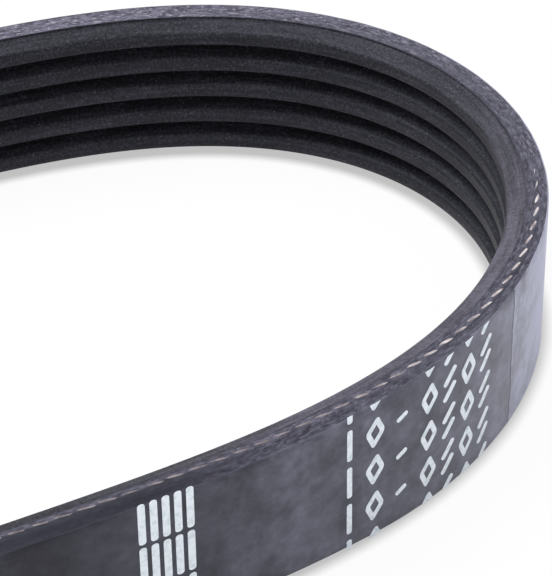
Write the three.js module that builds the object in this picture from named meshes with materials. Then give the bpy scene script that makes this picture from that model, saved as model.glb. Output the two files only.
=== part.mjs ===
// Poly-V drive belt with five ribs, one loop, standing on its cut edge as a flattened oval.
// Millimetres, +Z up. The origin lies on the surface below the belt, under the loop's middle,
// with +X along the loop's long axis. Depths run from the smooth back in towards the ribs.
import * as THREE from "three";

// The ribbed section.
const RIB_COUNT = 5;
const RIB_PITCH = 3.56;
const RIB_HEIGHT = 1.9;
const RIB_FLANK_ANGLE = 20;
const RIB_CORNER_RADIUS = 0.35;
const GROOVE_FLOOR_WIDTH = 0.58;
const BACK_THICKNESS = 2.4;

// The tensile cord. The knife shaves one turn of it flat along each cut edge, so its axis lies a
// little way in from the cut.
const CORD_DIAMETER = 0.95;
const CORD_DEPTH = 1.3;
const CORD_SINK = 0.3;
const CORD_CLEARANCE = 0.1;

// The loop. The cord does not stretch when the belt bends, so its line has the belt's length.
// The two angles, in radians, say how far the loop's heading departs from that of a circle.
const CORD_LINE_LENGTH = 560;
const SIDE_FLATTENING_ANGLE = 0.72;
const END_SHARING_ANGLE = 0.124;

// How finely round forms are faceted. The tight ends of the loop get the shorter steps.
const LOOP_STEPS = 96;
const END_CROWDING_ANGLE = 0.3;
const SLICES_PER_STEP = 16;
const CORD_ARC_FACETS = 6;

const BELT_WIDTH = RIB_COUNT * RIB_PITCH;
const BELT_HEIGHT = BACK_THICKNESS + RIB_HEIGHT;
const FLANK_ANGLE = THREE.MathUtils.degToRad(RIB_FLANK_ANGLE);
const RIB_BASE_WIDTH = RIB_PITCH - GROOVE_FLOOR_WIDTH;
const RIB_CROWN_WIDTH = RIB_BASE_WIDTH - 2 * RIB_HEIGHT * Math.tan(FLANK_ANGLE);
const CORD_RADIUS = CORD_DIAMETER / 2;
const FULL_TURN = 2 * Math.PI;
const SLEEVE_RADIUS = CORD_LINE_LENGTH / FULL_TURN;

const rubber = new THREE.MeshStandardMaterial({ color: "#3b3941", roughness: 0.62, metalness: 0 });
const cordYarn = new THREE.MeshStandardMaterial({ color: "#b9aeb2", roughness: 0.85, metalness: 0 });

// Direction of the cord's line, for an angle that grows evenly with the length run. It makes one
// turn a lap. The two-wave term moves turning from the long sides to the ends, and the four-wave
// term spreads it over each end.
function heading(angle) {
  const flattening = SIDE_FLATTENING_ANGLE * Math.sin(2 * angle);
  const sharing = END_SHARING_ANGLE * Math.sin(4 * angle);
  return angle - flattening + sharing;
}

// Angle reached after a number of steps, with the steps crowded together at the two ends.
function angleAt(step) {
  const even = (FULL_TURN * step) / LOOP_STEPS;
  return even + END_CROWDING_ANGLE * Math.sin(2 * even);
}

// Moves a point on along the cord's line, in short straight slices.
function runOn(point, fromAngle, toAngle) {
  const slice = (toAngle - fromAngle) / SLICES_PER_STEP;
  const length = slice * SLEEVE_RADIUS;
  for (let i = 0; i < SLICES_PER_STEP; i += 1) {
    const direction = heading(fromAngle + (i + 0.5) * slice);
    point.x += length * Math.cos(direction);
    point.y += length * Math.sin(direction);
  }
}

// The cord's line, one spot a step, with the direction that faces out of the loop. It starts in
// the middle of the long side at -Y, so half a lap away it has crossed the loop's breadth.
function cordLine() {
  const point = new THREE.Vector2(0, 0);
  const spots = [];
  for (let step = 0; step <= LOOP_STEPS; step += 1) {
    const angle = angleAt(step);
    if (step > 0) {
      runOn(point, angleAt(step - 1), angle);
    }
    const direction = heading(angle);
    const outward = new THREE.Vector2(Math.sin(direction), -Math.cos(direction));
    spots.push({ place: point.clone(), outward });
  }
  const halfBreadth = spots[LOOP_STEPS / 2].place.y / 2;
  for (const spot of spots) {
    spot.place.y -= halfBreadth;
  }
  return spots;
}

const LOOP = cordLine();

// A ring of one closed section. As on the real belt, it is first a round sleeve, which is then
// laid along the oval. The section holds (depth, height) points, anticlockwise seen with the
// back on the right.
function ring(section) {
  const outline = section.map((p) => new THREE.Vector2(SLEEVE_RADIUS + CORD_DEPTH - p.x, p.y));
  const geometry = new THREE.LatheGeometry([...outline, outline[0]], LOOP_STEPS);
  const position = geometry.getAttribute("position");
  const uv = geometry.getAttribute("uv");
  for (let i = 0; i < position.count; i += 1) {
    const spot = LOOP[Math.round(uv.getX(i) * LOOP_STEPS)];
    const reach = Math.hypot(position.getX(i), position.getZ(i)) - SLEEVE_RADIUS;
    const x = spot.place.x + reach * spot.outward.x;
    const y = spot.place.y + reach * spot.outward.y;
    position.setXYZ(i, x, y, position.getY(i));
  }
  geometry.computeVertexNormals();
  return geometry;
}

// Circle about the cord's axis, from where it leaves the plane of the cut to where it comes back
// to it, as (depth, distance in from the cut) points.
function shavedRound(radius) {
  const shaved = Math.asin(CORD_SINK / radius);
  const facetTurn = (Math.PI + 2 * shaved) / CORD_ARC_FACETS;
  const points = [];
  for (let i = 0; i <= CORD_ARC_FACETS; i += 1) {
    const turn = i * facetTurn - shaved;
    const depth = CORD_DEPTH - radius * Math.cos(turn);
    points.push(new THREE.Vector2(depth, CORD_SINK + radius * Math.sin(turn)));
  }
  return points;
}

// Cut edge from the back to the first groove, with the open channel that the cord lies in.
function cutEdge() {
  return [
    new THREE.Vector2(0, 0),
    ...shavedRound(CORD_RADIUS + CORD_CLEARANCE),
    new THREE.Vector2(BACK_THICKNESS, 0),
  ];
}

function atTopEdge(points) {
  return points.map((p) => new THREE.Vector2(p.x, BELT_WIDTH - p.y));
}

function atBottomEdge(points) {
  return points.toReversed();
}

// One V rib, from its upper foot over the flat crown to its lower foot, with broken corners.
function rib(middle) {
  const cornerReach = RIB_CORNER_RADIUS * Math.tan((Math.PI / 2 - FLANK_ANGLE) / 2);
  const upperHalf = [
    new THREE.Vector2(BACK_THICKNESS, RIB_BASE_WIDTH / 2),
    new THREE.Vector2(
      BELT_HEIGHT - cornerReach * Math.cos(FLANK_ANGLE),
      RIB_CROWN_WIDTH / 2 + cornerReach * Math.sin(FLANK_ANGLE),
    ),
    new THREE.Vector2(BELT_HEIGHT, RIB_CROWN_WIDTH / 2 - cornerReach),
  ];
  const lowerHalf = upperHalf.toReversed().map((p) => new THREE.Vector2(p.x, -p.y));
  return [...upperHalf, ...lowerHalf].map((p) => new THREE.Vector2(p.x, middle + p.y));
}

// Belt body: smooth back, two cut edges, and the ribs, with half a groove beside each edge.
function beltBody() {
  const section = atTopEdge(cutEdge());
  for (let i = 0; i < RIB_COUNT; i += 1) {
    section.push(...rib(BELT_WIDTH - (i + 0.5) * RIB_PITCH));
  }
  section.push(...atBottomEdge(cutEdge()));
  return new THREE.Mesh(ring(section), rubber);
}

// The turn of cord at one cut edge, shaved flush with it.
function edgeCord(atEdge) {
  const section = atEdge(shavedRound(CORD_RADIUS)).toReversed();
  return new THREE.Mesh(ring(section), cordYarn);
}

const belt = new THREE.Group();

const body = beltBody();
body.name = "belt_body";
belt.add(body);

const topCord = edgeCord(atTopEdge);
topCord.name = "tensile_cord_top_edge";
belt.add(topCord);

const bottomCord = edgeCord(atBottomEdge);
bottomCord.name = "tensile_cord_bottom_edge";
belt.add(bottomCord);

export default belt;
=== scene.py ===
import math

import bmesh
import bpy
from mathutils import Matrix, Quaternion, Vector, noise


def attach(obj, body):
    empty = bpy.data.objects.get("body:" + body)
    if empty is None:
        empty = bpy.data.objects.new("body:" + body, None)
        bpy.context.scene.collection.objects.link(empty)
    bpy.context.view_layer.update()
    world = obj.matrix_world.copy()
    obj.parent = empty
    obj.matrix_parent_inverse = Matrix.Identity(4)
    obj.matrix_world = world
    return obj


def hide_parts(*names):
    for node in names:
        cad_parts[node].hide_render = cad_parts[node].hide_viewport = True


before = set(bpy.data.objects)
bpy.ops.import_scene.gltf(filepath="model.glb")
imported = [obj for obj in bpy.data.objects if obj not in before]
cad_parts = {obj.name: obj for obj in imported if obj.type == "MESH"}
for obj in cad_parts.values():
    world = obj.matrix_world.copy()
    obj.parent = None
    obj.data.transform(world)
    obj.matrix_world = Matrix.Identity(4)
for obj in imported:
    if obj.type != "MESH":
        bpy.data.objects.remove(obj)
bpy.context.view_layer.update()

# HOW THE BELT LIES
# The belt stands on one cut edge as a limp closed loop. Its cord line, the layer that keeps its
# length, has two nearly straight sides and two round ends. A place on the belt is a lap, a
# distance out from the cord line and a height.
MM = 0.001
FULL_LAP = 2 * math.pi
CORD_LINE_LENGTH = 560 * MM
SIDE_FLATTENING_ANGLE = 0.72
END_SHARING_ANGLE = 0.124
LIE_SLICES = 5600


def heading(lap):
    """Direction of the cord line at a lap, in radians from +X."""
    flattening = SIDE_FLATTENING_ANGLE * math.sin(2 * lap)
    sharing = END_SHARING_ANGLE * math.sin(4 * lap)
    return lap - flattening + sharing


slice_length = CORD_LINE_LENGTH / LIE_SLICES
lie = [Vector((0, 0, 0))]
for slice_number in range(LIE_SLICES):
    course = heading((slice_number + 0.5) / LIE_SLICES * FULL_LAP)
    step = Vector((math.cos(course), math.sin(course), 0)) * slice_length
    lie.append(lie[-1] + step)
half_breadth = lie[LIE_SLICES // 2].y / 2
lie = [spot - Vector((0, half_breadth, 0)) for spot in lie]


def lay(lap, out, height):
    """The point of the belt at a lap, a distance out from the cord line and a height."""
    slices = lap / FULL_LAP % 1 * LIE_SLICES
    first = min(int(slices), LIE_SLICES - 1)
    spot = lie[first].lerp(lie[first + 1], slices - first)
    course = heading(lap)
    outward = Vector((math.sin(course), -math.cos(course), 0))
    return spot + outward * out + Vector((0, 0, height))


# BELT BODY
# One piece of black EPDM rubber, with a smooth back outside and five long ribs inside. It is
# cured as a sleeve on a drum, its ribs are ground, and knives slice it to width, which leaves
# two flat, rough cut edges.
RIB_COUNT = 5
RIB_PITCH = 3.56 * MM
RIB_HEIGHT = 1.9 * MM
RIB_FLANK_ANGLE = math.radians(20)
GROOVE_FLOOR_WIDTH = 0.58 * MM
BACK_THICKNESS = 2.4 * MM
CORD_DEPTH = 1.3 * MM
BELT_WIDTH = RIB_COUNT * RIB_PITCH
SLEEVE_RADIUS = CORD_LINE_LENGTH / FULL_LAP
SPIN_STEPS = 500
TOUCHING = 0.001 * MM

back_out = CORD_DEPTH
floor_out = CORD_DEPTH - BACK_THICKNESS
crown_out = floor_out - RIB_HEIGHT
rib_base_half = (RIB_PITCH - GROOVE_FLOOR_WIDTH) / 2
rib_crown_half = rib_base_half - RIB_HEIGHT * math.tan(RIB_FLANK_ANGLE)

# How far a corner of the section is cut back to round it, and in how many facets.
BACK_CORNER = (0.14 * MM, 3)
CUT_CORNER = (0.05 * MM, 1)
ROOT_CORNER = (0.1 * MM, 2)
CROWN_CORNER = (0.245 * MM, 3)

# The section's corners in their order round it: (out, height, rounding, divisions of the side
# that follows the corner).
corners = [
    (back_out, 0, BACK_CORNER, 12),
    (back_out, BELT_WIDTH, BACK_CORNER, 18),
    (floor_out, BELT_WIDTH, CUT_CORNER, 1),
]
for rib in reversed(range(RIB_COUNT)):
    middle = (rib + 0.5) * RIB_PITCH
    corners.append((floor_out, middle + rib_base_half, ROOT_CORNER, 4))
    corners.append((crown_out, middle + rib_crown_half, CROWN_CORNER, 3))
    corners.append((crown_out, middle - rib_crown_half, CROWN_CORNER, 4))
    corners.append((floor_out, middle - rib_base_half, ROOT_CORNER, 1))
corners.append((floor_out, 0, CUT_CORNER, 18))


def on_sleeve(out, height):
    """A place of the section where the sleeve's spin starts."""
    return Vector((0, -SLEEVE_RADIUS - out, height))


belt = bmesh.new()
section = [belt.verts.new(on_sleeve(out, height)) for out, height, _, _ in corners]
sides = [belt.edges.new((vert, section[i - len(section) + 1])) for i, vert in enumerate(section)]
for divisions in sorted({corner[3] for corner in corners if corner[3] > 1}):
    chosen = [side for side, corner in zip(sides, corners) if corner[3] == divisions]
    bmesh.ops.subdivide_edges(belt, edges=chosen, cuts=divisions - 1)
for rounding in (BACK_CORNER, CUT_CORNER, ROOT_CORNER, CROWN_CORNER):
    places = [on_sleeve(corner[0], corner[1]) for corner in corners if corner[2] == rounding]
    chosen = [v for v in belt.verts if min((v.co - p).length for p in places) < TOUCHING]
    bmesh.ops.bevel(
        belt,
        geom=chosen,
        offset=rounding[0],
        offset_type="OFFSET",
        segments=rounding[1],
        profile=0.5,
        affect="VERTICES",
        material=-1,
    )

# Each point of the section keeps its distance round it, for the materials' patterns.
girth = belt.verts.layers.float.new("girth")
at = min(belt.verts, key=lambda v: (v.co.y, v.co.z))
before = None
travelled = 0
while at is not None:
    at[girth] = travelled
    ahead = [edge.other_vert(at) for edge in at.link_edges]
    ahead = [v for v in ahead if v != before and v[girth] == 0]
    before = at
    at = ahead[0] if ahead else None
    if at is not None:
        travelled += (at.co - before.co).length
bmesh.ops.spin(
    belt,
    geom=belt.verts[:] + belt.edges[:],
    cent=(0, 0, 0),
    axis=(0, 0, 1),
    dvec=(0, 0, 0),
    angle=FULL_LAP,
    steps=SPIN_STEPS,
    use_merge=True,
    use_normal_flip=False,
    use_duplicate=False,
)


def ramp(value, low, high):
    """0 below low, 1 above high and smooth between."""
    share = min(max((value - low) / (high - low), 0), 1)
    return share * share * (3 - 2 * share)


def changing(degrees, start, *changes):
    """A value that changes smoothly along the belt: its start, and (change, from lap, to lap)."""
    return start + sum(change * ramp(degrees, low, high) for change, low, high in changes)


def in_degrees(lap):
    """A lap in degrees, from -180 to 180."""
    return (math.degrees(lap) + 180) % 360 - 180


# The cord winds down through the belt each lap, and the knife wanders, so along a cut edge one
# turn of it comes out of the rubber, is sliced and runs out. How far it lies out from the cord
# line, and how far in from the edge, changes along the belt, in millimetres over laps in degrees.
TOP_CORD_LAPS = (165, 458)
BOTTOM_CORD_LAPS = (190, 487)
LAP_EASE = 12
CORD_WANDER = (0, (-0.48, -60, 10), (0.12, 42, 50), (0.46, 50, 84), (-0.1, 100, 140))
TOP_CORD_INSET = (-0.275, (0.7, 165, 370), (0.22, 436, 456))
BOTTOM_CORD_INSET = (0.635, (-0.21, 190, 270), (-0.7, 350, 487))
CORD_WAVER = 0.025 * MM
CORD_WAVERS_PER_RADIAN = 40
FRONT_CORD_LIFT = 0.085 * MM
TROUGH_HALF_WIDTH = 0.36 * MM
TROUGH_SIDE = 0.12 * MM
TROUGH_DEPTH = 0.03 * MM

# Along the side at -Y the edge's outer corner is worn down, most at the back and no further in
# than the cord.
FRONT_SHARE = (0, (1, -80, -20), (-1, 50, 62))
CORNER_WEAR = 0.5 * MM
WEAR_DEPTHS = (0.1 * MM, 1.4 * MM)
WEAR_REACH = 1.2 * MM

# The knife tears the cut face and leaves a wavy burr at its outer corner.
TEAR_DEPTH = 0.07 * MM
TEAR_WIDTH = 0.3 * MM
TEARS_PER_MM = 0.35
BURR_DEPTH = 0.06 * MM
BURR_REACH = 0.4 * MM
BURR_WIDTH = 2 * MM
BURR_NOISE_START = 20
BURRS_PER_MM = 0.45
CORNER_REACH = 0.2 * MM

# Tones along the belt, from 0 to 1: the grey bloom on the back, with a painted sheen that
# brightens it towards the end at +X, where the back turns to the light, how pale the knife has
# left the edge on either side of the cord, and the painted highlight on the nearest rib's flank.
BACK_BLOOM_AND_PAINTED_SHEEN = (
    0.125,
    (-0.1, 5, 30),
    (0.06, 32, 41),
    (0.13, 43, 50),
    (0.18, 60, 70),
    (0.28, 71, 82),
    (-0.55, 84, 130),
)
INNER_PALENESS = (0.34, (0.3, 96, 124))
OUTER_PALENESS = (0.04, (0.28, 40, 50), (0.08, 76, 90), (0.2, 94, 112))
CREASE_PAINTED_SHADE = (0, (0.2, 58, 66), (-0.2, 72, 80))
ROOT_PAINTED_SHADE = 0.22
NEAR_FLANK_PAINTED_HIGHLIGHT = (0.05, (0.55, 30, 60), (-0.55, 72, 98))

# How far past the cord the edge's tone changes, where the painted shade of the crease beside the
# cord starts and ends, how deep the painted shade at the root of the ribs starts, and how far in
# the near flank's painted highlight ends.
OUTER_START = 0.2 * MM
CREASE_SHADE_START = (0.12 * MM, 0.25 * MM)
CREASE_SHADE_END = (0.35 * MM, 0.55 * MM)
ROOT_SHADE_START = 2.15 * MM
NEAR_FLANK_HIGHLIGHT_END = (1.1 * MM, 1.7 * MM)


def cord_out(lap):
    """How far out from the cord line the bared cord lies at a lap."""
    return changing(in_degrees(lap), *CORD_WANDER) * MM


def along_front(lap):
    """1 where the edge's outer corner is worn down, and 0 elsewhere."""
    return changing(in_degrees(lap), *FRONT_SHARE)


def openness(lap, cord_laps):
    """How far the trough of a cord is open at a lap, from 0 to 1."""
    start, end = cord_laps
    degrees = start + (math.degrees(lap) - start) % 360
    return ramp(degrees, start, start + LAP_EASE) * (1 - ramp(degrees, end - LAP_EASE, end))


def edge_paleness_and_shade(lap, out):
    """Knife paleness of the cut edge, 0 to 1, less painted shade at the crease and root."""
    degrees = in_degrees(lap)
    from_cord = out - cord_out(lap)
    outer = ramp(from_cord, 0, OUTER_START)
    pale_and_painted_light = changing(degrees, *INNER_PALENESS) * (1 - outer)
    pale_and_painted_light += changing(degrees, *OUTER_PALENESS) * outer
    # Painted shade along the crease beside the cord.
    crease_shade = ramp(from_cord, *CREASE_SHADE_START) * (1 - ramp(from_cord, *CREASE_SHADE_END))
    # Painted shade where the cut edge steps down to the ribs' root.
    root = ramp(back_out - out, ROOT_SHADE_START, BACK_THICKNESS)
    return max(pale_and_painted_light - changing(degrees, *CREASE_PAINTED_SHADE) * crease_shade - ROOT_PAINTED_SHADE * root, 0)


def torn(run, out):
    """How deep the knife has torn the cut face, for a run round the sleeve in millimetres."""
    tear = noise.noise(run * TEARS_PER_MM + Vector((0, 0, out / TEAR_WIDTH)))
    return TEAR_DEPTH * (0.5 + 0.5 * tear)


def burred(run, inward):
    """How far the burr draws the back in, near the edge."""
    wave = noise.noise(run * BURRS_PER_MM + Vector((0, 0, BURR_NOISE_START + inward / BURR_WIDTH)))
    return BURR_DEPTH * (0.5 + 0.5 * wave) * (1 - ramp(inward, 0, BURR_REACH))


# Each point is laid from the sleeve onto the lie, with the marks of the knife. It keeps its
# place on the sleeve and its depth under the back in millimetres, and its tones.
ring_place = belt.verts.layers.float_vector.new("ring_place")
depth = belt.verts.layers.float.new("depth")
bloom_and_painted_sheen = belt.verts.layers.float.new("bloom_and_painted_sheen")
paleness_and_painted_light = belt.verts.layers.float.new("paleness_and_painted_light")
for vert in belt.verts:
    lap = math.atan2(vert.co.x, -vert.co.y) % FULL_LAP
    out = math.hypot(vert.co.x, vert.co.y) - SLEEVE_RADIUS
    run = Vector((math.cos(lap), math.sin(lap), 0)) * SLEEVE_RADIUS / MM
    vert[ring_place] = run + Vector((0, 0, vert[girth] / MM))
    vert[depth] = (back_out - out) / MM
    # The bloom tone is partly painted sheen, lighter towards the end at +X.
    vert[bloom_and_painted_sheen] = changing(in_degrees(lap), *BACK_BLOOM_AND_PAINTED_SHEEN)
    at_top = vert.co.z > BELT_WIDTH / 2
    inward = BELT_WIDTH - vert.co.z if at_top else vert.co.z
    if inward < TOUCHING:
        vert[paleness_and_painted_light] = edge_paleness_and_shade(lap, out)
        into_trough = TROUGH_HALF_WIDTH - abs(out - cord_out(lap))
        trough = ramp(into_trough, 0, TROUGH_SIDE)
        trough *= openness(lap, TOP_CORD_LAPS if at_top else BOTTOM_CORD_LAPS)
        inward += torn(run, out) * (1 - trough) + TROUGH_DEPTH * trough
    elif out < floor_out:
        # The nearest rib's flank gets a painted highlight around the turn towards the end at +X.
        flank_highlight = changing(in_degrees(lap), *NEAR_FLANK_PAINTED_HIGHLIGHT)
        vert[paleness_and_painted_light] = flank_highlight * (1 - ramp(inward, *NEAR_FLANK_HIGHLIGHT_END))
    if inward < BURR_REACH and out > back_out - CORNER_REACH:
        out -= burred(run, inward)
    worn = CORNER_WEAR * along_front(lap) * (1 - ramp(back_out - out, *WEAR_DEPTHS))
    inward += worn * (1 - ramp(inward, 0, WEAR_REACH))
    vert.co = lay(lap, out, BELT_WIDTH - inward if at_top else inward)
bmesh.ops.recalc_face_normals(belt, faces=belt.faces[:])

# The back takes in the rounding of its corners, and the cut edge is what lies flat beside it.
BACK, CUT_EDGE, RIBS = range(3)
BACK_SKIN = 0.15 * MM
FLAT_ENOUGH = 0.5
for face in belt.faces:
    face.smooth = True
    deepest = max(vert[depth] for vert in face.verts)
    if deepest < BACK_SKIN / MM:
        face.material_index = BACK
    elif deepest < (BACK_THICKNESS + TOUCHING) / MM and abs(face.normal.z) > FLAT_ENOUGH:
        face.material_index = CUT_EDGE
    else:
        face.material_index = RIBS
rubber_mesh = bpy.data.meshes.new("ribbed_rubber")
belt.to_mesh(rubber_mesh)
belt.free()
ribbed_rubber = bpy.data.objects.new("ribbed_rubber", rubber_mesh)
bpy.context.scene.collection.objects.link(ribbed_rubber)
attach(ribbed_rubber, "root")
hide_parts("belt_body")


def linear(colour):
    """A '#rrggbb' sRGB colour as linear red, green, blue and full alpha."""
    channels = []
    for start in (1, 3, 5):
        value = int(colour[start:start + 2], 16) / 255
        channels.append(value / 12.92 if value <= 0.04045 else ((value + 0.055) / 1.055) ** 2.4)
    return (*channels, 1)


def new_material(name):
    """A node material with nothing in it."""
    material = bpy.data.materials.new(name)
    material.use_nodes = True
    material.node_tree.nodes.clear()
    return material


def add_node(owner, kind, inputs=(), **settings):
    """Adds one node with its settings, and sets its inputs or links them to nodes or outputs.

    The inputs are a dictionary by name, or a list in the node's own order.
    """
    node = owner.node_tree.nodes.new("ShaderNode" + kind)
    for name, value in settings.items():
        setattr(node, name, value)
    named = inputs.items() if isinstance(inputs, dict) else enumerate(inputs)
    for name, value in named:
        if isinstance(value, bpy.types.Node):
            value = next(output for output in value.outputs if output.enabled)
        if isinstance(value, bpy.types.NodeSocket):
            owner.node_tree.links.new(value, node.inputs[name])
        else:
            node.inputs[name].default_value = value
    return node


# Noise runs from 0 to 1 and seldom leaves this span.
NOISE_SPAN = (0.3, 0.7)


def add_grain(material, place, size, detail, stretch=1):
    """Noise whose grains have a size in millimetres, drawn out along the belt by a stretch."""
    fine = 1 / size
    scaled = add_node(material, "Mapping", {
        "Vector": place,
        "Scale": (fine / stretch, fine / stretch, fine),
    })
    return add_node(material, "TexNoise", {
        "Vector": scaled,
        "Scale": 1,
        "Detail": detail,
        "Roughness": 0.6,
    })


# Smooth EPDM back, cured against a drum: satin black under a violet-grey bloom, blotched, with
# faint bands across it and pores drawn coarser than they are, so that they show. The bloom is
# partly painted sheen: it grows lighter towards the end at +X, where the back turns to the light.
# Where the sleeve's outer sheet was lapped, a dark line crosses the belt and the bloom is thicker
# beyond it, which is partly a sheet of another finish and partly painted sheen.
SPLICE_STEP = 97
SPLICE_LAP = SPLICE_STEP / SPIN_STEPS * FULL_LAP
SHEET_THICKNESS = 0.05 * MM

back_rubber = new_material("drum_cured_epdm_rubber")
place = add_node(back_rubber, "Attribute", attribute_name="ring_place").outputs["Vector"]
bloomed_and_painted_sheen = add_node(back_rubber, "Attribute", attribute_name="bloom_and_painted_sheen").outputs["Fac"]
blotches = add_grain(back_rubber, place, size=4.5, detail=5)
stains = add_grain(back_rubber, place, size=1.1, detail=3)
bands = add_grain(back_rubber, place, size=16, detail=2, stretch=0.12)
pores = add_grain(back_rubber, place, size=0.35, detail=2)
wavering = add_grain(back_rubber, place, size=2, detail=1)

# The splice's own distances are in millimetres along the belt, on the half where it lies.
past_splice = add_node(back_rubber, "VectorMath", [
    place,
    (-math.sin(SPLICE_LAP), math.cos(SPLICE_LAP), 0),
], operation="DOT_PRODUCT")
near_splice = add_node(back_rubber, "VectorMath", [
    place,
    (math.cos(SPLICE_LAP), math.sin(SPLICE_LAP), 0),
], operation="DOT_PRODUCT")
this_half = add_node(back_rubber, "MapRange", [near_splice, 0, 10, 0, 1])
wander = add_node(back_rubber, "MapRange", [wavering, *NOISE_SPAN, -0.12, 0.12])
past_line = add_node(back_rubber, "Math", [past_splice, wander], operation="ADD")
beyond = add_node(back_rubber, "MapRange", [past_line, -0.06, 0.06, 0, 1])
# Beyond the splice the bloom is thicker, partly a sheet of another finish and partly painted
# sheen.
fading = add_node(back_rubber, "MapRange", [past_splice, 15, 60, 0.4, 0])
thicker_bloom_and_painted_sheen = add_node(back_rubber, "Math", [beyond, fading], operation="MULTIPLY")
thicker_bloom_and_painted_sheen = add_node(back_rubber, "Math", [thicker_bloom_and_painted_sheen, this_half], operation="MULTIPLY")
off_line = add_node(back_rubber, "Math", [past_line], operation="ABSOLUTE")
on_line = add_node(back_rubber, "MapRange", [off_line, 0.06, 0.16, 0.75, 0])
on_line = add_node(back_rubber, "Math", [on_line, this_half], operation="MULTIPLY")

blotched = add_node(back_rubber, "MapRange", [blotches, *NOISE_SPAN, 0.5, 1.5])
stained = add_node(back_rubber, "MapRange", [stains, *NOISE_SPAN, 0.75, 1.25])
banded = add_node(back_rubber, "MapRange", [bands, *NOISE_SPAN, 0.85, 1.15])
cloudy = add_node(back_rubber, "MapRange", [blotches, 0.35, 0.7, -0.02, 0.05])
tone = add_node(back_rubber, "Math", [bloomed_and_painted_sheen, thicker_bloom_and_painted_sheen], operation="ADD")
tone = add_node(back_rubber, "Math", [tone, blotched], operation="MULTIPLY")
tone = add_node(back_rubber, "Math", [tone, stained], operation="MULTIPLY")
tone = add_node(back_rubber, "Math", [tone, banded], operation="MULTIPLY")
tone = add_node(back_rubber, "Math", [tone, cloudy], operation="ADD")
grey = add_node(back_rubber, "Mix", {
    "Factor": tone,
    "A": linear("#050508"),
    "B": linear("#9b9cb0"),
}, data_type="RGBA")
lined = add_node(back_rubber, "Mix", {
    "Factor": on_line,
    "A": grey,
    "B": linear("#111015"),
}, data_type="RGBA")
sheet = add_node(back_rubber, "Bump", {
    "Height": beyond,
    "Strength": 0.6,
    "Distance": SHEET_THICKNESS,
})
lumps = add_node(back_rubber, "Bump", {
    "Height": blotches,
    "Strength": 0.3,
    "Distance": 0.2 * MM,
    "Normal": sheet,
})
skin = add_node(back_rubber, "Bump", {
    "Height": pores,
    "Strength": 0.3,
    "Distance": 0.02 * MM,
    "Normal": lumps,
})
satin = add_node(back_rubber, "BsdfPrincipled", {
    "Base Color": lined,
    "Roughness": add_node(back_rubber, "MapRange", [blotches, *NOISE_SPAN, 0.32, 0.44]),
    "IOR": 1.48,
    "Specular Tint": linear("#e3e3ff"),
    "Sheen Weight": 0.7,
    "Sheen Roughness": 0.25,
    "Sheen Tint": linear("#dcdfff"),
    "Normal": skin,
})
add_node(back_rubber, "OutputMaterial", {"Surface": satin})
rubber_mesh.materials.append(back_rubber)

# Knife-cut rubber: dull, and torn in fine streaks along the cut, with the pale ends of fibres in
# it. Streaks, tears and fibre ends are drawn coarser than they are, so that they show.
cut_rubber = new_material("knife_cut_rubber")
place = add_node(cut_rubber, "Attribute", attribute_name="ring_place").outputs["Vector"]
pale_and_painted_light = add_node(cut_rubber, "Attribute", attribute_name="paleness_and_painted_light").outputs["Fac"]
streaks = add_grain(cut_rubber, place, size=0.2, detail=3, stretch=7)
smears = add_grain(cut_rubber, place, size=0.4, detail=4, stretch=2.5)
tears = add_grain(cut_rubber, place, size=0.14, detail=2, stretch=2.5)
fibre_ends = add_grain(cut_rubber, place, size=0.22, detail=2, stretch=3)
streaked = add_node(cut_rubber, "MapRange", [streaks, *NOISE_SPAN, 0.3, 1.7])
smeared = add_node(cut_rubber, "MapRange", [smears, *NOISE_SPAN, 0.1, 1.9])
# The paleness holds painted shade beside the cord and where the edge meets the ribs.
tone = add_node(cut_rubber, "Math", [pale_and_painted_light, streaked], operation="MULTIPLY")
tone = add_node(cut_rubber, "Math", [tone, smeared], operation="MULTIPLY")
cut = add_node(cut_rubber, "Mix", {
    "Factor": tone,
    "A": linear("#1e1e25"),
    "B": linear("#716f80"),
}, data_type="RGBA")
fleck = add_node(cut_rubber, "MapRange", [fibre_ends, 0.56, 0.66, 0, 1])
laid_bare = add_node(cut_rubber, "MapRange", [pale_and_painted_light, 0.27, 0.52, 0, 0.9])
fleck = add_node(cut_rubber, "Math", [fleck, laid_bare], operation="MULTIPLY")
flecked = add_node(cut_rubber, "Mix", {
    "Factor": fleck,
    "A": cut,
    "B": linear("#a09ca9"),
}, data_type="RGBA")
ragged = add_node(cut_rubber, "Bump", {
    "Height": tears,
    "Strength": add_node(cut_rubber, "MapRange", [pale_and_painted_light, 0.2, 0.5, 0.2, 1]),
    "Distance": 0.25 * MM,
})
dull = add_node(cut_rubber, "BsdfPrincipled", {
    "Base Color": flecked,
    "Roughness": 0.65,
    "IOR": 1.42,
    "Specular Tint": linear("#e3e3ff"),
    "Normal": ragged,
})
add_node(cut_rubber, "OutputMaterial", {"Surface": dull})
rubber_mesh.materials.append(cut_rubber)

# Ground rib rubber: black and satin, scratched across the belt by the grinding wheel, with the
# pale ends of the chopped fibres that stiffen the ribs, drawn coarser than they are.
rib_rubber = new_material("ground_fibre_filled_rubber")
place = add_node(rib_rubber, "Attribute", attribute_name="ring_place").outputs["Vector"]
pale_and_painted_light = add_node(rib_rubber, "Attribute", attribute_name="paleness_and_painted_light").outputs["Fac"]
scratches = add_grain(rib_rubber, place, size=1.4, detail=3, stretch=0.12)
rubs = add_grain(rib_rubber, place, size=0.5, detail=3, stretch=14)
mottling = add_grain(rib_rubber, place, size=0.3, detail=4)
grit = add_grain(rib_rubber, place, size=0.15, detail=2)
specks = add_grain(rib_rubber, place, size=0.2, detail=1)
scratched = add_node(rib_rubber, "MapRange", [scratches, *NOISE_SPAN, 0.6, 1.4])
rubbed = add_node(rib_rubber, "MapRange", [rubs, *NOISE_SPAN, 0.6, 1.4])
worn_bands = add_node(rib_rubber, "MapRange", [rubs, 0.35, 0.75, -0.06, 0.16])
mottled = add_node(rib_rubber, "MapRange", [mottling, *NOISE_SPAN, -0.16, 0.22])
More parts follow.
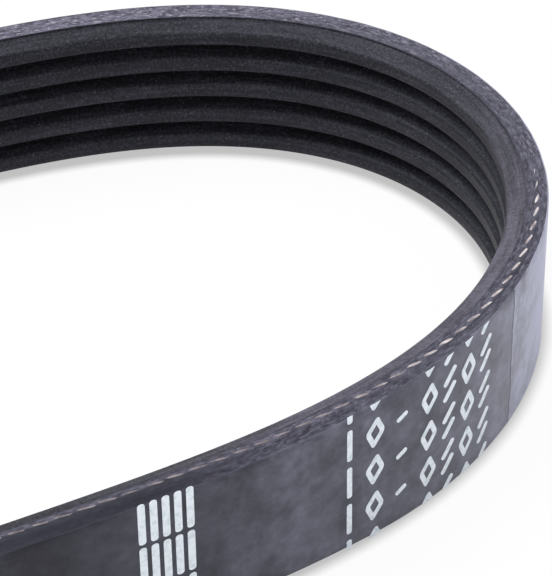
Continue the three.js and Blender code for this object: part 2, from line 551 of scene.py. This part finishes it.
# On the ribs this tone is the painted highlight on the flank next to each cut edge.
tone = add_node(rib_rubber, "Math", [pale_and_painted_light, scratched], operation="MULTIPLY")
tone = add_node(rib_rubber, "Math", [tone, rubbed], operation="MULTIPLY")
tone = add_node(rib_rubber, "Math", [tone, worn_bands], operation="ADD")
tone = add_node(rib_rubber, "Math", [tone, mottled], operation="ADD")
ground = add_node(rib_rubber, "Mix", {
    "Factor": tone,
    "A": linear("#141518"),
    "B": linear("#605e6a"),
}, data_type="RGBA")
speckled = add_node(rib_rubber, "Mix", {
    "Factor": add_node(rib_rubber, "MapRange", [specks, 0.68, 0.78, 0, 0.6]),
    "A": ground,
    "B": linear("#7c7c84"),
}, data_type="RGBA")
grooved = add_node(rib_rubber, "Bump", {
    "Height": scratches,
    "Strength": 0.25,
    "Distance": 0.04 * MM,
})
gritty = add_node(rib_rubber, "Bump", {
    "Height": grit,
    "Strength": 0.7,
    "Distance": 0.05 * MM,
    "Normal": grooved,
})
black = add_node(rib_rubber, "BsdfPrincipled", {
    "Base Color": speckled,
    "Roughness": 0.55,
    "IOR": 1.35,
    "Specular Tint": linear("#e4e6ff"),
    "Normal": gritty,
})
add_node(rib_rubber, "OutputMaterial", {"Surface": black})
rubber_mesh.materials.append(rib_rubber)

# TENSILE CORD IN THE CUT EDGES
# Three strands of polyester yarn twisted together and wound through the rubber. The knife has
# sliced them flush, so along the edge they show as slanted pale dashes.
STRAND_COUNT = 3
STRAND_RADIUS = 0.23 * MM
STRAND_TWIST_RADIUS = 0.24 * MM
FRONT_TIGHTENING = 0.45
TWIST_LENGTH = 6.9 * MM
STRAND_STEP = 0.4 * MM
CUT_CLEARANCE = 0.005 * MM

# The yarn is pale where it is freshly cut, at the end at +X, and soiled away from there. Its
# fuzz is drawn coarser than it is, so that it shows.
FRESH_FROM_X = (75 * MM, 100 * MM)
FRESH_TO_Y = (-14 * MM, 2 * MM)
FUZZ_SIZE = 1.4 * MM

polyester = new_material("twisted_polyester_yarn")
place = add_node(polyester, "TexCoord").outputs["Object"]
toward = add_node(polyester, "SeparateXYZ", {"Vector": place}).outputs
at_end = add_node(polyester, "MapRange", [toward["X"], *FRESH_FROM_X, 0.1, 1])
at_front = add_node(polyester, "MapRange", [toward["Y"], *FRESH_TO_Y, 1, 0.1])
freshness = add_node(polyester, "Math", [at_end, at_front], operation="MULTIPLY")
fuzz = add_node(polyester, "TexNoise", {"Vector": place, "Scale": 1 / FUZZ_SIZE, "Detail": 4})
fuzzy = add_node(polyester, "MapRange", [fuzz, 0.35, 0.65, 0, 1])
soiled = add_node(polyester, "Mix", {
    "Factor": fuzzy,
    "A": linear("#4a4448"),
    "B": linear("#80767a"),
}, data_type="RGBA")
fresh = add_node(polyester, "Mix", {
    "Factor": fuzzy,
    "A": linear("#857b7f"),
    "B": linear("#d4cacb"),
}, data_type="RGBA")
yarn_colour = add_node(polyester, "Mix", {
    "Factor": freshness,
    "A": soiled,
    "B": fresh,
}, data_type="RGBA")
yarn = add_node(polyester, "BsdfPrincipled", {"Base Color": yarn_colour, "Roughness": 0.75})
add_node(polyester, "OutputMaterial", {"Surface": yarn})


def top_axis_height(lap):
    """Height of the cord's axis along the top cut edge."""
    waver = CORD_WAVER * noise.noise(Vector((lap * CORD_WAVERS_PER_RADIAN, 0, 0)))
    inset = changing(math.degrees(lap), *TOP_CORD_INSET) * MM
    return BELT_WIDTH - inset + waver + FRONT_CORD_LIFT * along_front(lap)


def bottom_axis_height(lap):
    """Height of the cord's axis along the bottom cut edge."""
    return changing(math.degrees(lap), *BOTTOM_CORD_INSET) * MM


def sliced_cord(name, cord_laps, axis_height, cut_height, outward):
    """The twisted strands along one edge, sliced off at the cut."""
    path = bpy.data.curves.new(name, "CURVE")
    path.dimensions = "3D"
    path.bevel_depth = STRAND_RADIUS
    path.bevel_resolution = 2
    path.use_fill_caps = True
    start, end = (math.radians(degrees) for degrees in cord_laps)
    steps = round((end - start) * SLEEVE_RADIUS / STRAND_STEP)
    for strand in range(STRAND_COUNT):
        spline = path.splines.new("POLY")
        spline.points.add(steps)
        for i, point in enumerate(spline.points):
            lap = start + (end - start) * i / steps
            turn = strand / STRAND_COUNT - lap * SLEEVE_RADIUS / TWIST_LENGTH
            twist_radius = STRAND_TWIST_RADIUS * (1 - FRONT_TIGHTENING * along_front(lap))
            out = cord_out(lap) + twist_radius * math.cos(turn * FULL_LAP)
            rise = twist_radius * math.sin(turn * FULL_LAP)
            point.co = (*lay(lap, out, axis_height(lap) + rise), 1)
    strands = bpy.data.objects.new(name, path)
    bpy.context.scene.collection.objects.link(strands)
    bpy.context.view_layer.update()
    cord_mesh = bpy.data.meshes.new_from_object(strands)
    bpy.data.objects.remove(strands)
    cord = bmesh.new()
    cord.from_mesh(cord_mesh)
    bmesh.ops.bisect_plane(
        cord,
        geom=cord.verts[:] + cord.edges[:] + cord.faces[:],
        plane_co=(0, 0, cut_height - outward * CUT_CLEARANCE),
        plane_no=(0, 0, outward),
        clear_outer=True,
    )
    open_edges = [edge for edge in cord.edges if edge.is_boundary]
    bmesh.ops.holes_fill(cord, edges=open_edges, sides=0)
    bmesh.ops.recalc_face_normals(cord, faces=cord.faces[:])
    cord.to_mesh(cord_mesh)
    cord.free()
    cord_mesh.materials.clear()
    cord_mesh.materials.append(polyester)
    piece = bpy.data.objects.new(name, cord_mesh)
    bpy.context.scene.collection.objects.link(piece)
    return piece


top_cord = sliced_cord("cut_cord_top", TOP_CORD_LAPS, top_axis_height, BELT_WIDTH, 1)
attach(top_cord, "root")
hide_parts("tensile_cord_top_edge")
bottom_cord = sliced_cord("cut_cord_bottom", BOTTOM_CORD_LAPS, bottom_axis_height, 0, -1)
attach(bottom_cord, "root")
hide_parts("tensile_cord_bottom_edge")

# PRINTED MARKS
# Plain white marks printed on the back of the sleeve, in rows that the slicing cuts off at the
# edges. The ink is a thin closed film: bars, lozenges and dashes, and beside them rows of bars.
INK_THICKNESS = 0.03 * MM
INK_PROUD = 0.018 * MM
INK_CORNER = 0.45 * MM
INK_STROKE = 0.58 * MM
ROUND_END = 0.42
ROUND_END_FACETS = 4
EDGE_MARGIN = 0.08 * MM
BEND_STEP = 0.6 * MM

# The marks of a row, by their run along the belt from the middle of the side at -Y.
ROW_COUNT = 5
ROW_PITCH = 4.85 * MM
TOP_ROW_HEIGHT = 18.75 * MM
UPRIGHT_RUN = 84.2 * MM
UPRIGHT_SIZE = (0.62 * MM, 4 * MM)
DASH_RUN = 90.7 * MM
DASH_SIZE = (0.6 * MM, 1.5 * MM)
DASH_LEAN = math.radians(-65)
LOZENGE_RUNS = (87.3 * MM, 94.4 * MM, 100.2 * MM)
LOZENGE_SIZE = (2.5 * MM, 4.2 * MM)
LOZENGE_LEAN = math.radians(-8)
TWIN_RUNS = (97.3 * MM, 103.1 * MM)
TWIN_SIZE = (0.7 * MM, 2.5 * MM)
TWIN_OFFSET = 1 * MM
TWIN_LEAN = math.radians(-40)

# The bars beside them.
BAR_ROW_COUNT = 4
BAR_ROW_PITCH = 5.6 * MM
TOP_BAR_HEIGHT = 15 * MM
BAR_COUNT = 5
FIRST_BAR_RUN = 61.7 * MM
BAR_PITCH = 1.25 * MM
BAR_SIZE = (0.78 * MM, 5.2 * MM)

marks = bmesh.new()


def round_corners(corner_verts, offset):
    """Rounds the corners of a flat mark."""
    return bmesh.ops.bevel(
        marks,
        geom=corner_verts,
        offset=offset,
        offset_type="OFFSET",
        segments=ROUND_END_FACETS,
        profile=0.5,
        affect="VERTICES",
        material=-1,
    )


def print_bar(run, height, size, lean=0):
    """A flat bar with rounded corners, leaning by an angle."""
    shape = Matrix.Translation((run, height, 0)) @ Matrix.Rotation(lean, 4, "Z")
    shape = shape @ Matrix.Diagonal((*size, 1, 1)) @ Matrix.Rotation(math.pi / 4, 4, "Z")
    made = bmesh.ops.create_circle(
        marks, cap_ends=True, segments=4, radius=math.sqrt(0.5), matrix=shape
    )
    round_corners(made["verts"], ROUND_END * min(size))


def print_lozenge(run, height, size, lean=0):
    """A flat hollow lozenge with rounded corners, leaning by an angle."""
    shape = Matrix.Translation((run, height, 0)) @ Matrix.Rotation(lean, 4, "Z")
    shape = shape @ Matrix.Diagonal((size[0] / 2, size[1] / 2, 1, 1))
    made = bmesh.ops.create_circle(marks, cap_ends=True, segments=4, radius=1, matrix=shape)
    rounded = round_corners(made["verts"], INK_CORNER)
    filled = list(rounded["verts"][0].link_faces)
    bmesh.ops.inset_region(
        marks, faces=filled, thickness=INK_STROKE, use_even_offset=True, use_boundary=True
    )
    bmesh.ops.delete(marks, geom=filled, context="FACES")


for row in range(ROW_COUNT):
    height = TOP_ROW_HEIGHT - row * ROW_PITCH
    print_bar(UPRIGHT_RUN, height, UPRIGHT_SIZE)
    print_bar(DASH_RUN, height, DASH_SIZE, DASH_LEAN)
    for run in LOZENGE_RUNS:
        print_lozenge(run, height, LOZENGE_SIZE, LOZENGE_LEAN)
    for run in TWIN_RUNS:
        print_bar(run, height + TWIN_OFFSET, TWIN_SIZE, TWIN_LEAN)
        print_bar(run, height - TWIN_OFFSET, TWIN_SIZE, TWIN_LEAN)
for row in range(BAR_ROW_COUNT):
    for bar in range(BAR_COUNT):
        print_bar(FIRST_BAR_RUN + bar * BAR_PITCH, TOP_BAR_HEIGHT - row * BAR_ROW_PITCH, BAR_SIZE)
for margin_height, side in ((EDGE_MARGIN, -1), (BELT_WIDTH - EDGE_MARGIN, 1)):
    bmesh.ops.bisect_plane(
        marks,
        geom=marks.verts[:] + marks.edges[:] + marks.faces[:],
        plane_co=(0, margin_height, 0),
        plane_no=(0, side, 0),
        clear_outer=True,
    )

# The flat marks are cut into strips that bend with the back, and given their thickness.
first_run = min(vert.co.x for vert in marks.verts)
last_run = max(vert.co.x for vert in marks.verts)
for strip in range(1, int((last_run - first_run) / BEND_STEP)):
    bmesh.ops.bisect_plane(
        marks,
        geom=marks.verts[:] + marks.edges[:] + marks.faces[:],
        plane_co=(first_run + strip * BEND_STEP, 0, 0),
        plane_no=(1, 0, 0),
    )
bmesh.ops.recalc_face_normals(marks, faces=marks.faces[:])
bmesh.ops.solidify(marks, geom=marks.faces[:], thickness=INK_THICKNESS)
lowest = min(vert.co.z for vert in marks.verts)
for vert in marks.verts:
    out = back_out + INK_PROUD - INK_THICKNESS + (vert.co.z - lowest)
    vert.co = lay(vert.co.x / CORD_LINE_LENGTH * FULL_LAP, out, vert.co.y)
bmesh.ops.recalc_face_normals(marks, faces=marks.faces[:])
marks_mesh = bpy.data.meshes.new("printed_marks")
marks.to_mesh(marks_mesh)
marks.free()
printed_marks = bpy.data.objects.new("printed_marks", marks_mesh)
bpy.context.scene.collection.objects.link(printed_marks)
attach(printed_marks, "root")

# White transfer ink, pressed into the warm sleeve: matt, bluish white, and thinner in patches.
INK_PATCH = 0.6 * MM

ink = new_material("white_transfer_ink")
place = add_node(ink, "TexCoord").outputs["Object"]
patches = add_node(ink, "TexNoise", {"Vector": place, "Scale": 1 / INK_PATCH, "Detail": 3})
ink_colour = add_node(ink, "Mix", {
    "Factor": add_node(ink, "MapRange", [patches, 0.3, 0.55, 0, 1]),
    "A": linear("#ccd5de"),
    "B": linear("#e6edf5"),
}, data_type="RGBA")
film = add_node(ink, "BsdfPrincipled", {"Base Color": ink_colour, "Roughness": 0.6})
add_node(ink, "OutputMaterial", {"Surface": film})
marks_mesh.materials.append(ink)

# FLOOR AND LIGHT
# A plain white floor that keeps the belt's soft shadow, a white surround, and one large soft
# light behind the belt on the left.
FLOOR_HALF_SIZE = 3
FLOOR_WHITENESS = 0.94
CONTACT_SHADOW_REACH = 1.8 * MM
CONTACT_SHADOW_GLOW = 0.55
SURROUND_LIGHT = 0.8
SOFTBOX_SIZE = 0.7
SOFTBOX_POWER = 8
SOFTBOX_PLACE = Vector((-0.3, 0.4, 0.85))
SOFTBOX_AIM = Vector((0.1, 0, 0))


def add_seen(owner):
    """1 for the rays that show a surface or its reflection, and 0 for the rays that light."""
    rays = add_node(owner, "LightPath").outputs
    straight = [rays["Is Camera Ray"], rays["Is Glossy Ray"]]
    seen = add_node(owner, "Math", straight, operation="MAXIMUM")
    return add_node(owner, "Math", [seen, rays["Is Transmission Ray"]], operation="MAXIMUM")


floor_mesh = bpy.data.meshes.new("floor")
flat = bmesh.new()
bmesh.ops.create_grid(flat, x_segments=1, y_segments=1, size=FLOOR_HALF_SIZE)
flat.to_mesh(floor_mesh)
flat.free()
floor = bpy.data.objects.new("floor", floor_mesh)
bpy.context.scene.collection.objects.link(floor)

# White paper. What is seen of it glows white, less so close under the belt, and the rest of it
# is matt and takes the shadow.
paper = new_material("white_paper")
glow_share = add_node(paper, "MapRange", [add_seen(paper), 0, 1, 0, FLOOR_WHITENESS])
near_belt = add_node(paper, "AmbientOcclusion", {"Distance": CONTACT_SHADOW_REACH}).outputs["AO"]
strength = add_node(paper, "MapRange", [near_belt, 0.5, 0.95, CONTACT_SHADOW_GLOW, 1])
matt = add_node(paper, "BsdfDiffuse", {"Color": linear("#f6f6f6")})
glow = add_node(paper, "Emission", {"Color": (1, 1, 1, 1), "Strength": strength})
lit_paper = add_node(paper, "MixShader", [glow_share, matt, glow])
add_node(paper, "OutputMaterial", {"Surface": lit_paper})
floor_mesh.materials.append(paper)

world = bpy.data.worlds.new("white_surround")
bpy.context.scene.world = world
world.use_nodes = True
world.node_tree.nodes.clear()
surround = add_node(world, "Background", {
    "Color": (1, 1, 1, 1),
    "Strength": add_node(world, "MapRange", [add_seen(world), 0, 1, SURROUND_LIGHT, 1]),
})
add_node(world, "OutputWorld", {"Surface": surround})

softbox_light = bpy.data.lights.new("softbox", "AREA")
softbox_light.shape = "RECTANGLE"
softbox_light.size = SOFTBOX_SIZE
softbox_light.size_y = SOFTBOX_SIZE
softbox_light.energy = SOFTBOX_POWER
softbox = bpy.data.objects.new("softbox", softbox_light)
softbox.location = SOFTBOX_PLACE
softbox.rotation_euler = (SOFTBOX_AIM - SOFTBOX_PLACE).to_track_quat("-Z", "Y").to_euler()
bpy.context.scene.collection.objects.link(softbox)

# CAMERA
# It looks down at one end of the loop, the end at +X, with a long lens.
CAMERA_PLACE = Vector((-11.911, -226.078, 210.614)) * MM
CAMERA_AIM = Vector((95.302, 2.578, 0)) * MM
CAMERA_ROLL = math.radians(-0.8336)
SENSOR_WIDTH = 36
IMAGE_HEIGHT_PIXELS = 576
FOCAL_LENGTH_PIXELS = 3021.8

lens = bpy.data.cameras.new("camera")
lens.sensor_width = SENSOR_WIDTH
lens.lens = FOCAL_LENGTH_PIXELS * SENSOR_WIDTH / IMAGE_HEIGHT_PIXELS
lens.clip_start = 10 * MM
camera = bpy.data.objects.new("camera", lens)
camera.location = CAMERA_PLACE
camera.rotation_mode = "QUATERNION"
camera.rotation_quaternion = (CAMERA_AIM - CAMERA_PLACE).to_track_quat("-Z", "Y")
camera.rotation_quaternion @= Quaternion((0, 0, 1), CAMERA_ROLL)
bpy.context.scene.collection.objects.link(camera)
bpy.context.scene.camera = camera
bpy.context.scene.view_settings.view_transform = "Standard"
